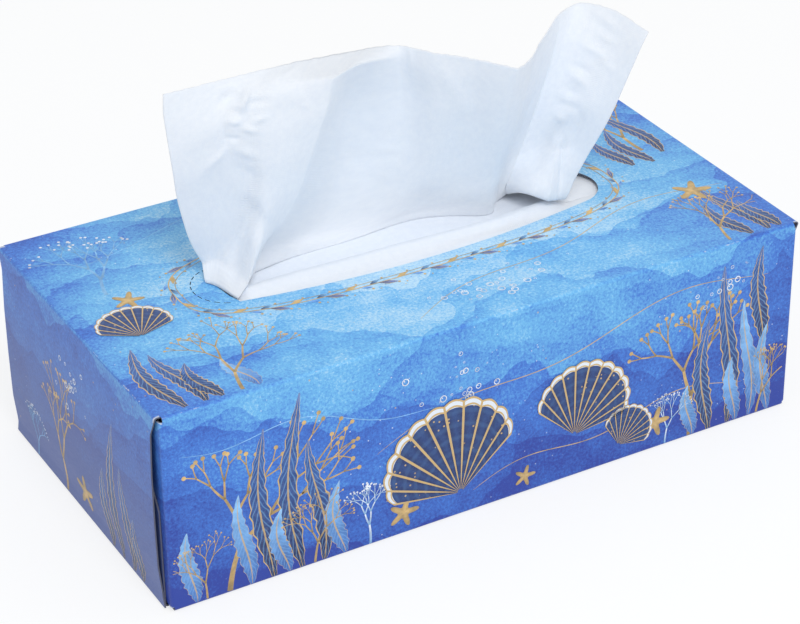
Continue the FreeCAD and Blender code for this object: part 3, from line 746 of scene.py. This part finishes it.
class PrintRun:
    """Gathers shapes on the carton's panels. Each shape lies a hair above the one
    before, so that it covers it."""

    def __init__(self, look, lift=0.0):
        self.parts, self.lift, self.lifts = [], look.lift + lift, {}
        self.navy, self.blue, self.pale, self.gold, self.white = (
            np.array(x) for x in (look.navy, look.blue, look.pale, look.gold, look.white))

    def place(self, panel, a, b, lift):
        """Points of space: front, back, left, right or top, with the bulge of the ends."""
        heights, stand = zip(*FLAP_BULGE)
        end = FLAP_X + np.interp(b, heights, stand) + lift
        flat = SIDE_Y + lift + 0 * a
        return np.stack({"front": (a, -flat, b), "back": (-a, flat, b), "left": (-end, -a, b),
                         "right": (end, a, b), "top": (a, b, TOP_Z + lift + 0 * a)}[panel], axis=-1)

    def add(self, panel, shapes, inks, rim=0.0, tip=None):
        """Shapes (n, rows, columns, 2) in one ink, or from inks to tip along their rows.
        Those that reach over their panel's edge or over the slot are left out, and those
        whose area is negative are turned over."""
        flat = np.abs(shapes).reshape(len(shapes), -1, 2)
        kept = (flat < PANEL_REACH[panel]).all((1, 2))
        if panel == "top":
            kept &= ((flat / SLOT_REACH) ** 3).sum(-1).min(1) > 1
        else:
            kept &= shapes[..., 1].min((1, 2)) > PANEL_FOOT
        if not kept.any():
            return
        a, b = shapes[kept, ..., 0] / 1000, shapes[kept, ..., 1] / 1000
        n, rows, columns = a.shape
        area = ((a[:, 1:, 1:] - a[:, :-1, :-1]) * (b[:, 1:, :-1] - b[:, :-1, 1:])
                - (b[:, 1:, 1:] - b[:, :-1, :-1]) * (a[:, 1:, :-1] - a[:, :-1, 1:])).sum((1, 2))
        a, b = (np.where(area[:, None, None] < 0, x[:, :, ::-1], x) for x in (a, b))
        lift = self.lifts.get(panel, self.lift) + np.arange(n).reshape(-1, 1, 1) * SHAPE_LIFT
        self.lifts[panel] = float(lift.max()) + RUN_LIFT
        uv = np.stack(np.meshgrid(np.linspace(0, 1, columns), np.linspace(0, 1, rows)), axis=-1)
        first = np.asarray(inks, float).reshape(-1, 1, 1, 3)
        last = first if tip is None else np.asarray(tip, float).reshape(-1, 1, 1, 3)
        tint = np.broadcast_to(first + (last - first) * uv[..., 1:], (n, rows, columns, 3))
        rims = np.full((n, rows, columns, 1), float(rim))
        self.parts.append((self.place(panel, a, b, lift),
                           np.broadcast_to(uv, (n, rows, columns, 2)),
                           np.concatenate([tint, rims], axis=-1)))

    def make(self, name, mat):
        piece = patch_mesh(name, self.parts)
        piece.data.materials.append(mat)
        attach(piece, "root")
        return piece


def coral_bush(run, panel, root, height, lean, seed, stem=0.6, tip=None):
    """A coral fan: gold on a darker stem, or, where a tip colour is given, from pale to
    that with white beads."""
    ink_value, bead = (run.gold, run.gold) if tip is None else (run.pale, run.white)
    paths, widths, ends = coral(root, height, lean, seed)
    run.add(panel, ribbons(paths, widths), stem * ink_value, tip=run.gold if tip is None else tip)
    run.add(panel, rounds(ends, height * 0.013), bead)


def kelp(run, panel, roots, heights, sways, width, dark=True):
    """Blades with a gold edge, from navy to blue, or from blue to pale."""
    paths, widths = blades(roots, heights, sways, width)
    first, tip = ((0.9 * run.navy, 0.7 * run.blue) if dark
                  else (0.75 * run.blue, 1.1 * run.pale))
    run.add(panel, ribbons(paths, widths, 7), first, rim=0.06 if dark else 0.02, tip=tip)


def stars(run, panel, centres, radii, turn=0.0):
    """Gold starfish that get darker towards their tips."""
    run.add(panel, rounds(centres, radii, columns=61, rows=6, arms=5, turn=turn),
            1.15 * run.gold, tip=0.72 * run.gold)


def bubbles(run, panel, place, spread, count, seed):
    """White rings of random sizes round place, fewer away from it."""
    rng = np.random.default_rng(seed)
    centres = np.array(place) + np.array(spread) * rng.normal(0, 0.45, (count, 2))
    size = rng.uniform(0.35, 1.15, count) ** 1.5
    run.add(panel, rounds(centres, size, inner=0.72, rows=2), run.white)
    run.add(panel, rounds(centres + size[:, None] * (-0.3, 0.3), 0.2 * size), run.white)


def wave_line(run, panel, start, end, rise, swing, line_ink):
    """A thin line from start to end that bows up by rise and swings like a sine."""
    t = np.linspace(0, 1, 90)
    path = np.array(start) + np.outer(t, np.subtract(end, start))
    path[:, 1] += rise * np.sin(np.pi * t) + swing * np.sin(3.3 * np.pi * t)
    run.add(panel, ribbons(path[None], 0.28 * np.sin(np.pi * t[None]) ** 0.3), line_ink)


def sea_floor(run, panel, flip):
    """Motifs of a long side: corals and kelp from the bottom edge, stars and bubbles.
    flip, 1 or -1, mirrors their places."""
    def bush(x, *shape):
        coral_bush(run, panel, (x * flip, ROOT), *shape)

    def weed(places, *shape, **kind):
        kelp(run, panel, [(x * flip, y) for x, y in places], *shape, **kind)

    wave_line(run, panel, (-40 * flip, 30), (96 * flip, 52), 5, 3, run.gold)
    wave_line(run, panel, (-100 * flip, 50), (-18 * flip, 38), 4, -2, run.pale)
    wave_line(run, panel, (-8 * flip, 7), (88 * flip, 16), 3, 2.5, run.gold)
    bush(-87, 54, 0.10 * flip, 4)
    weed([(-64, ROOT), (-57, ROOT), (-73, ROOT)], (58, 42, 50), (2.8, -2.4, 2.2), 6.2)
    weed([(-50, ROOT), (-80, ROOT), (-68, ROOT), (-97, ROOT)], (25, 31, 22, 24),
         (2.2, -1.8, 2.0, -1.5), 5.6, dark=False)
    bush(-94, 20, 0.0, 8)
    bush(-60, 24, 0.1, 15)
    bush(-42, 24, 0.1, 11, 0.8, run.white)
    bush(69, 52, -0.05 * flip, 7, 0.55)
    weed([(83, ROOT), (76, ROOT), (95, 26)], (56, 39, 34), (-2.4, 2.2, 1.8), 6.0)
    weed([(91, ROOT), (98, ROOT), (86, ROOT), (70, ROOT)], (42, 31, 23, 18),
         (-2.4, 2.0, 1.6, -1.6), 5.4, dark=False)
    bush(94, 25, 0.12, 21)
    bush(60, 19, 0.0, 5, 0.8, run.white)
    stars(run, panel, [(-31 * flip, 7.5), (56 * flip, 9.5), (10 * flip, 6)], (5.2, 5.4, 3.8), 0.3)
    bubbles(run, panel, (-12 * flip, 44), (14, 16), 26, 3)
    bubbles(run, panel, (82 * flip, 50), (12, 9), 14, 8)


def slot_border(run):
    """A line round the slot, on a superellipse of power 3, with beads on it and
    lozenges between them."""
    angle = np.linspace(0, 2 * np.pi, 721)
    turn = np.stack([np.cos(angle), np.sin(angle)], axis=-1)
    path = BORDER_HALF * np.sign(turn) * np.abs(turn) ** (2 / 3)
    far = np.concatenate([[0], np.cumsum(np.linalg.norm(np.diff(path, axis=0), axis=1))])
    even = np.linspace(0, far[-1], 481)
    path = np.stack([np.interp(even, far, path[:, i]) for i in (0, 1)], axis=-1)
    for line, wide, line_ink in ((path, 0.35, run.gold),
                                 (path * (0.975, 0.93), 0.22, 0.8 * run.gold)):
        run.add("top", ribbons(line[None], np.full((1, len(path)), wide)), line_ink)
    ahead = np.gradient(path, axis=0)
    ahead /= np.linalg.norm(ahead, axis=1, keepdims=True)
    out = np.stack([ahead[:, 1], -ahead[:, 0]], axis=-1)
    t = np.linspace(-1, 1, 9)
    for first, side, long, wide, start, tip in (
            (0, 1.0, 2.9, 2.1, run.navy, run.blue), (8, -0.9, 2.3, 1.5, run.gold, run.gold),
            (14, 0.9, 1.7, 1.2, run.pale, run.blue), (19, -1.0, 2.0, 1.4, run.navy, run.pale)):
        middle, way = (path + side * out)[first:-1:24], (ahead + 0.35 * side * out)[first:-1:24]
        line = middle[:, None] + way[:, None] * (long * t)[:, None]
        widths = np.broadcast_to(wide * (1 - np.abs(t)) ** 0.8, line.shape[:2])
        run.add("top", ribbons(line, widths, 5), start, rim=0.14 if first == 0 else 0.0, tip=tip)
    for offset, size, first, bead in ((2.3, 0.42, 4, run.gold), (-2.1, 0.36, 11, run.gold),
                                      (3.2, 0.26, 7, run.gold), (1.7, 0.3, 10, run.pale)):
        run.add("top", rounds((path + out * offset)[first:-1:12], size), bead)


def ink_parts(n, look):
    """What both inks start from: the place on the box, the place across and along the
    shape, the shape's own ink, and the fibre of the board."""
    where = n.add("TexCoord")
    across, along, _ = n.split(where["UV"])
    fibre = n.group("Paper fibre", {"Vector": where["Object"], "Size": look.grain})
    return where["Object"], across, along, n.add("Attribute", attribute_name="Ink"), fibre


def ink_surface(n, colour, fibre):
    """The inputs of an ink's shader: its colour, slightly glossy, with the board's grain."""
    return {"Base Color": colour,
            "Roughness": n.spread(fibre["Fibre"], 0.3, 0.7, 0.36, 0.5),
            "Specular IOR Level": 0.4,
            "Normal": n.bump(fibre["Height"], 0.00002, 0.5)}


def ink_on_board(look):
    """Printed ink: the shape's own colour, a gold rim where it has one, a gold rib down
    its middle with pale veins beside it, and the grain and wear of the board."""
    def build(n):
        here, across, along, shape, fibre = ink_parts(n, look)
        edge = 0.5 - abs(across - 0.5)
        rim = edge < shape["Alpha"]
        rimmed = shape["Alpha"] > 0.01
        rib = (edge > 0.455) * rimmed
        dark = n.mix(1.0, shape["Color"], (0.66, 0.68, 0.74), "MULTIPLY")
        light = n.mix(1.0, shape["Color"], (1.22, 1.2, 1.15), "MULTIPLY")
        colour = n.mix(n.spread(n.noise(here, 240.0, 4.0, 0.6), 0.34, 0.66), dark, light)
        vein = n.math("SINE", along.fit(95.0, edge * -26.0))
        veined = n.spread(vein, 0.35, 1.0) * (1.0 - rib)
        colour = n.mix(veined * rimmed * 0.35, colour, look.pale)
        colour = n.mix(n.math("MAXIMUM", rim, rib * 0.8), colour, look.gold)
        colour = n.mix(n.spread(fibre["Fibre"], 0.45, 0.8, 0.0, 0.1), colour, look.white)
        return ink_surface(n, wear_off(n, here, look, colour)[1], fibre)
    return material("Printed ink", build)


def scallop_ink(look):
    """Ink of the scallops: navy ribs with gold lines between them, a white rim, growth
    rings, and gold dots towards the rim."""
    def build(n):
        here, across, along, shape, fibre = ink_parts(n, look)
        off_middle = across - 0.5
        wave = abs(n.math("COSINE", off_middle * (RIBS * np.pi)))
        line = wave < n.spread(along, 0.1, 1.0, 0.42, 0.17)
        ring = n.math("SINE", along.fit(44.0, wave * 1.6))
        colour = n.mix(n.spread(along, 0.05, 0.9), look.navy, shape["Color"])
        colour = n.mix(n.spread(ring, 0.2, 1.0, 0.0, 0.07), colour, look.pale)
        colour = n.mix(n.spread(wave, 0.55, 1.0, 0.0, 0.12), colour, look.blue)
        dots = n.dots(here, 620.0, 0.22, 0.4) * n.spread(along, 0.3, 0.75)
        colour = n.mix(dots * 0.9, colour, look.gold)
        rim = n.spread(wave.fit(0.02, along), 0.925, 0.93)
        colour = n.mix(rim, colour, look.white)
        outline = n.math("MAXIMUM", (along > 0.915) * (along < 0.935), along > 0.978)
        colour = n.mix(n.math("MAXIMUM", outline, line), colour, look.gold)
        colour = n.mix(abs(off_middle) > 0.487, colour, look.gold)
        colour = n.mix(n.spread(fibre["Fibre"], 0.35, 0.75, 0.0, 0.08), colour, look.pale)
        return ink_surface(n, colour, fibre)
    return material("Scallop ink", build)


# Operators
class TISSUEBOX_OT_sea_prints(bpy.types.Operator):
    """Prints corals, kelp, stars and bubbles on the panels"""
    bl_idname = "tissuebox.sea_prints"
    bl_label = "Sea prints"

    def execute(self, context):
        look = context.scene.carton_print
        run = PrintRun(look)
        sea_floor(run, "front", 1)
        sea_floor(run, "back", -1)
        wave_line(run, "top", (-20, -46), (101, -20), 6, 3, run.gold)
        wave_line(run, "top", (-98, 30), (20, 44), 5, -2, run.pale)
        kelp(run, "top", [(-96, -53), (-90, -53), (-85, -53)], (34, 29, 20), (2.4, -2.2, 2.0), 5.6)
        kelp(run, "top", [(-101, -53), (-74, -53)], (22, 17), (1.2, -2.0), 5.0, dark=False)
        coral_bush(run, "top", (-79, -53), 34, 0.1, 14)
        coral_bush(run, "top", (92, 8), 38, -0.15, 17, 0.55)
        kelp(run, "top", [(97, 4), (91, 0), (84, 1)], (34, 26, 20), (-2.6, 2.2, -1.6), 5.0)
        kelp(run, "top", [(96, -53), (90, -53), (100, -53)], (30, 22, 19), (-2.2, 2.0, 1.4), 5.4)
        coral_bush(run, "top", (82, -53), 30, 0.1, 9)
        coral_bush(run, "top", (-90, 12), 34, 0.1, 31, 0.8, run.pale)
        stars(run, "top", [(90, -22), (-86, 6)], (6.4, 5.0), 0.5)
        bubbles(run, "top", (10, -38), (24, 9), 34, 5)
        bubbles(run, "top", (40, 38), (30, 8), 22, 6)
        for panel, seed in (("left", 2), ("right", 12)):
            coral_bush(run, panel, (-14, 1), 42, 0.1, seed, 0.55)
            kelp(run, panel, [(26, 1), (33, 1), (19, 1), (39, 1)], (46, 33, 26, 20),
                 (2.6, -2.2, 1.8, 1.6), 5.2)
            coral_bush(run, panel, (-36, 1), 20, 0.1, seed + 3, 0.8, run.pale)
            stars(run, panel, [(1, 9)], (6.0,))
            bubbles(run, panel, (-4, 46), (12, 10), 16, seed)
        run.make("sea_prints", ink_on_board(look))
        return {"FINISHED"}


class TISSUEBOX_OT_scallop_prints(bpy.types.Operator):
    """Prints the scallops on the long sides and the top"""
    bl_idname = "tissuebox.scallop_prints"
    bl_label = "Scallop prints"

    def execute(self, context):
        look = context.scene.carton_print
        run = PrintRun(look, lift=0.0002)
        fan = 0.9 * run.navy + 0.08 * run.blue
        for panel, flip in (("front", 1), ("back", -1)):
            centres = [(-12 * flip, 8), (27 * flip, 15), (43 * flip, 6)]
            turns = [-16.0 * flip, 18.0 * flip, 34.0 * flip]
            run.add(panel, scallops(centres, (33, 25, 14), turns), fan)
        run.add("top", scallops([(-91, -14), (60, 32)], (17, 13), [8.0, -20.0]), fan)
        run.make("scallop_prints", scallop_ink(look))
        return {"FINISHED"}


class TISSUEBOX_OT_border_print(bpy.types.Operator):
    """Prints the border of beads and lozenges round the slot"""
    bl_idname = "tissuebox.border_print"
    bl_label = "Slot border"

    def execute(self, context):
        look = context.scene.carton_print
        run = PrintRun(look, lift=0.00005)
        slot_border(run)
        run.make("border_print", bpy.data.materials.get("Printed ink") or ink_on_board(look))
        return {"FINISHED"}


class TISSUEBOX_OT_carton(bpy.types.Operator):
    """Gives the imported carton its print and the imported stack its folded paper"""
    bl_idname = "tissuebox.carton"
    bl_label = "Carton and stack"

    def execute(self, context):
        scene = context.scene
        for node, mat in (("carton", printed_carton(scene.carton_print)),
                          ("tissue_stack", stacked_paper(scene.tissue_sheet))):
            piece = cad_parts[node]
            piece.data.materials.clear()
            piece.data.materials.append(mat)
        return {"FINISHED"}


class TISSUEBOX_OT_pulled_tissue(bpy.types.Operator):
    """Makes the tissue that stands in the slot"""
    bl_idname = "tissuebox.pulled_tissue"
    bl_label = "Pulled tissue"

    def execute(self, context):
        look = context.scene.tissue_sheet
        piece = sheet_piece("pulled_sheet", *pulled_surface(look.crimp), look)
        piece.data.materials.append(tissue_paper("Pulled tissue paper", look, 0.2))
        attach(piece, "root")
        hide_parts("pulled_tissue")
        return {"FINISHED"}


class TISSUEBOX_OT_next_tissue(bpy.types.Operator):
    """Makes the next tissue, whose lip shows in the slot"""
    bl_idname = "tissuebox.next_tissue"
    bl_label = "Next tissue"

    def execute(self, context):
        look = context.scene.tissue_sheet
        piece = sheet_piece("next_sheet", *next_surface(), look)
        piece.data.materials.append(tissue_paper("Next tissue paper", look, 0.0))
        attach(piece, "root")
        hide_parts("next_tissue")
        return {"FINISHED"}


class TISSUEBOX_OT_stage(bpy.types.Operator):
    """Makes the floor, the soft lamp, the even sky and the camera"""
    bl_idname = "tissuebox.stage"
    bl_label = "Stage"

    def execute(self, context):
        scene, look = context.scene, context.scene.studio_stage
        x, y = np.meshgrid((-FLOOR_HALF, FLOOR_HALF), (-FLOOR_HALF, FLOOR_HALF))
        corners = np.stack([x, y, np.full(x.shape, FLOOR_Z)], axis=-1)[None]
        floor = patch_mesh("floor", [(corners, corners[..., :2] / (2 * FLOOR_HALF) + 0.5)])
        floor.data.materials.append(floor_paint(look))
        lamp = bpy.data.lights.new("key_lamp", "AREA")
        lamp.shape, lamp.size, lamp.energy = "DISK", LAMP_SIZE, look.key
        camera = bpy.data.cameras.new("camera")
        camera.sensor_width, camera.lens, camera.clip_start = 36, look.lens, 0.01
        heading, down, roll = CAMERA_TURNS
        for data, matrix in (
                (lamp, aimed(LAMP_AT, LAMP_TARGET)),
                (camera, Matrix.Translation(CAMERA_AT) @ Matrix.Rotation(heading, 4, "Z")
                 @ Matrix.Rotation(np.pi / 2 - down, 4, "X") @ Matrix.Rotation(roll, 4, "Z"))):
            holder = bpy.data.objects.new(data.name, data)
            holder.matrix_world = matrix
            scene.collection.objects.link(holder)
        scene.camera = holder
        world = bpy.data.worlds.new("Studio")
        n = fresh_nodes(world)
        sky = n.add("Background", {"Color": (0.97, 0.985, 1.0, 1), "Strength": look.sky})[0]
        white = n.add("Background", {"Color": (1, 1, 1, 1), "Strength": 1.0})[0]
        both = n.add("MixShader", {0: shown_ray(n), 1: sky, 2: white})[0]
        n.add("OutputWorld", {"Surface": both})
        scene.world = world
        scene.view_settings.view_transform = "Standard"
        return {"FINISHED"}


def aimed(place, target):
    """A lamp's matrix at place, with its beam towards target."""
    back = np.array(place, float) - np.array(target, float)
    back /= np.linalg.norm(back)
    side = np.cross((0, 1, 0) if abs(back[2]) > 0.9 else (0, 0, 1), back)
    side /= np.linalg.norm(side)
    matrix = np.eye(4)
    matrix[:3] = np.column_stack([side, np.cross(back, side), back, place])
    return Matrix(matrix.tolist())


def shown_ray(n):
    """1 for the rays that see the background: from the camera, in gloss or through glass."""
    path = n.add("LightPath")
    return n.math("MAXIMUM", path["Is Camera Ray"],
                  n.math("MAXIMUM", path["Is Glossy Ray"], path["Is Transmission Ray"]))


def floor_paint(look):
    """Pale floor: partly light of its own before the camera, so that it reads as white
    there, and keeps a soft part of the box's shadow."""
    mat = bpy.data.materials.new("Floor")
    n = fresh_nodes(mat)
    cloud = n.noise(n.add("TexCoord")["Object"], 6.0, 3.0)
    tint = n.mix(n.spread(cloud, 0.3, 0.7), tuple(0.985 * c for c in look.floor), look.floor)
    paint = n.add("BsdfPrincipled", {"Base Color": tint, "Roughness": 0.9,
                                     "Specular IOR Level": 0.1})[0]
    glow = n.add("Emission", {"Color": (1, 1, 1, 1), "Strength": 1.06})[0]
    both = n.add("MixShader", {0: shown_ray(n) * 0.7, 1: paint, 2: glow})[0]
    n.add("OutputMaterial", {"Surface": both})
    return mat


class TISSUEBOX_PT_sidebar(bpy.types.Panel):
    """Lists the sizes, the colours and the steps"""
    bl_idname = "TISSUEBOX_PT_sidebar"
    bl_label = "Tissue box"
    bl_space_type = "VIEW_3D"
    bl_region_type = "UI"
    bl_category = "Tissue box"

    def draw(self, context):
        for group in ("carton_print", "tissue_sheet", "studio_stage"):
            values = getattr(context.scene, group)
            box = self.layout.box()
            for name in values.__annotations__:
                box.prop(values, name)
        for step in STEPS:
            self.layout.operator(step.bl_idname)


STEPS = (TISSUEBOX_OT_stage, TISSUEBOX_OT_carton, TISSUEBOX_OT_sea_prints,
         TISSUEBOX_OT_scallop_prints, TISSUEBOX_OT_border_print, TISSUEBOX_OT_pulled_tissue,
         TISSUEBOX_OT_next_tissue)
GROUPS = {"carton_print": CartonPrint, "tissue_sheet": TissueSheet, "studio_stage": StudioStage}


def register():
    """Makes the classes and the scene's settings known."""
    for cls in (*GROUPS.values(), *STEPS, TISSUEBOX_PT_sidebar):
        bpy.utils.register_class(cls)
    for name, cls in GROUPS.items():
        setattr(bpy.types.Scene, name, PointerProperty(type=cls))


def unregister():
    """Takes back what register made known."""
    for name in GROUPS:
        delattr(bpy.types.Scene, name)
    for cls in reversed((*GROUPS.values(), *STEPS, TISSUEBOX_PT_sidebar)):
        bpy.utils.unregister_class(cls)


def main():
    """Runs the steps in order."""
    register()
    bpy.ops.tissuebox.stage()
    bpy.ops.tissuebox.carton()
    bpy.ops.tissuebox.sea_prints()
    bpy.ops.tissuebox.scallop_prints()
    bpy.ops.tissuebox.border_print()
    bpy.ops.tissuebox.pulled_tissue()
    bpy.ops.tissuebox.next_tissue()


if __name__ == "__main__":
    main()
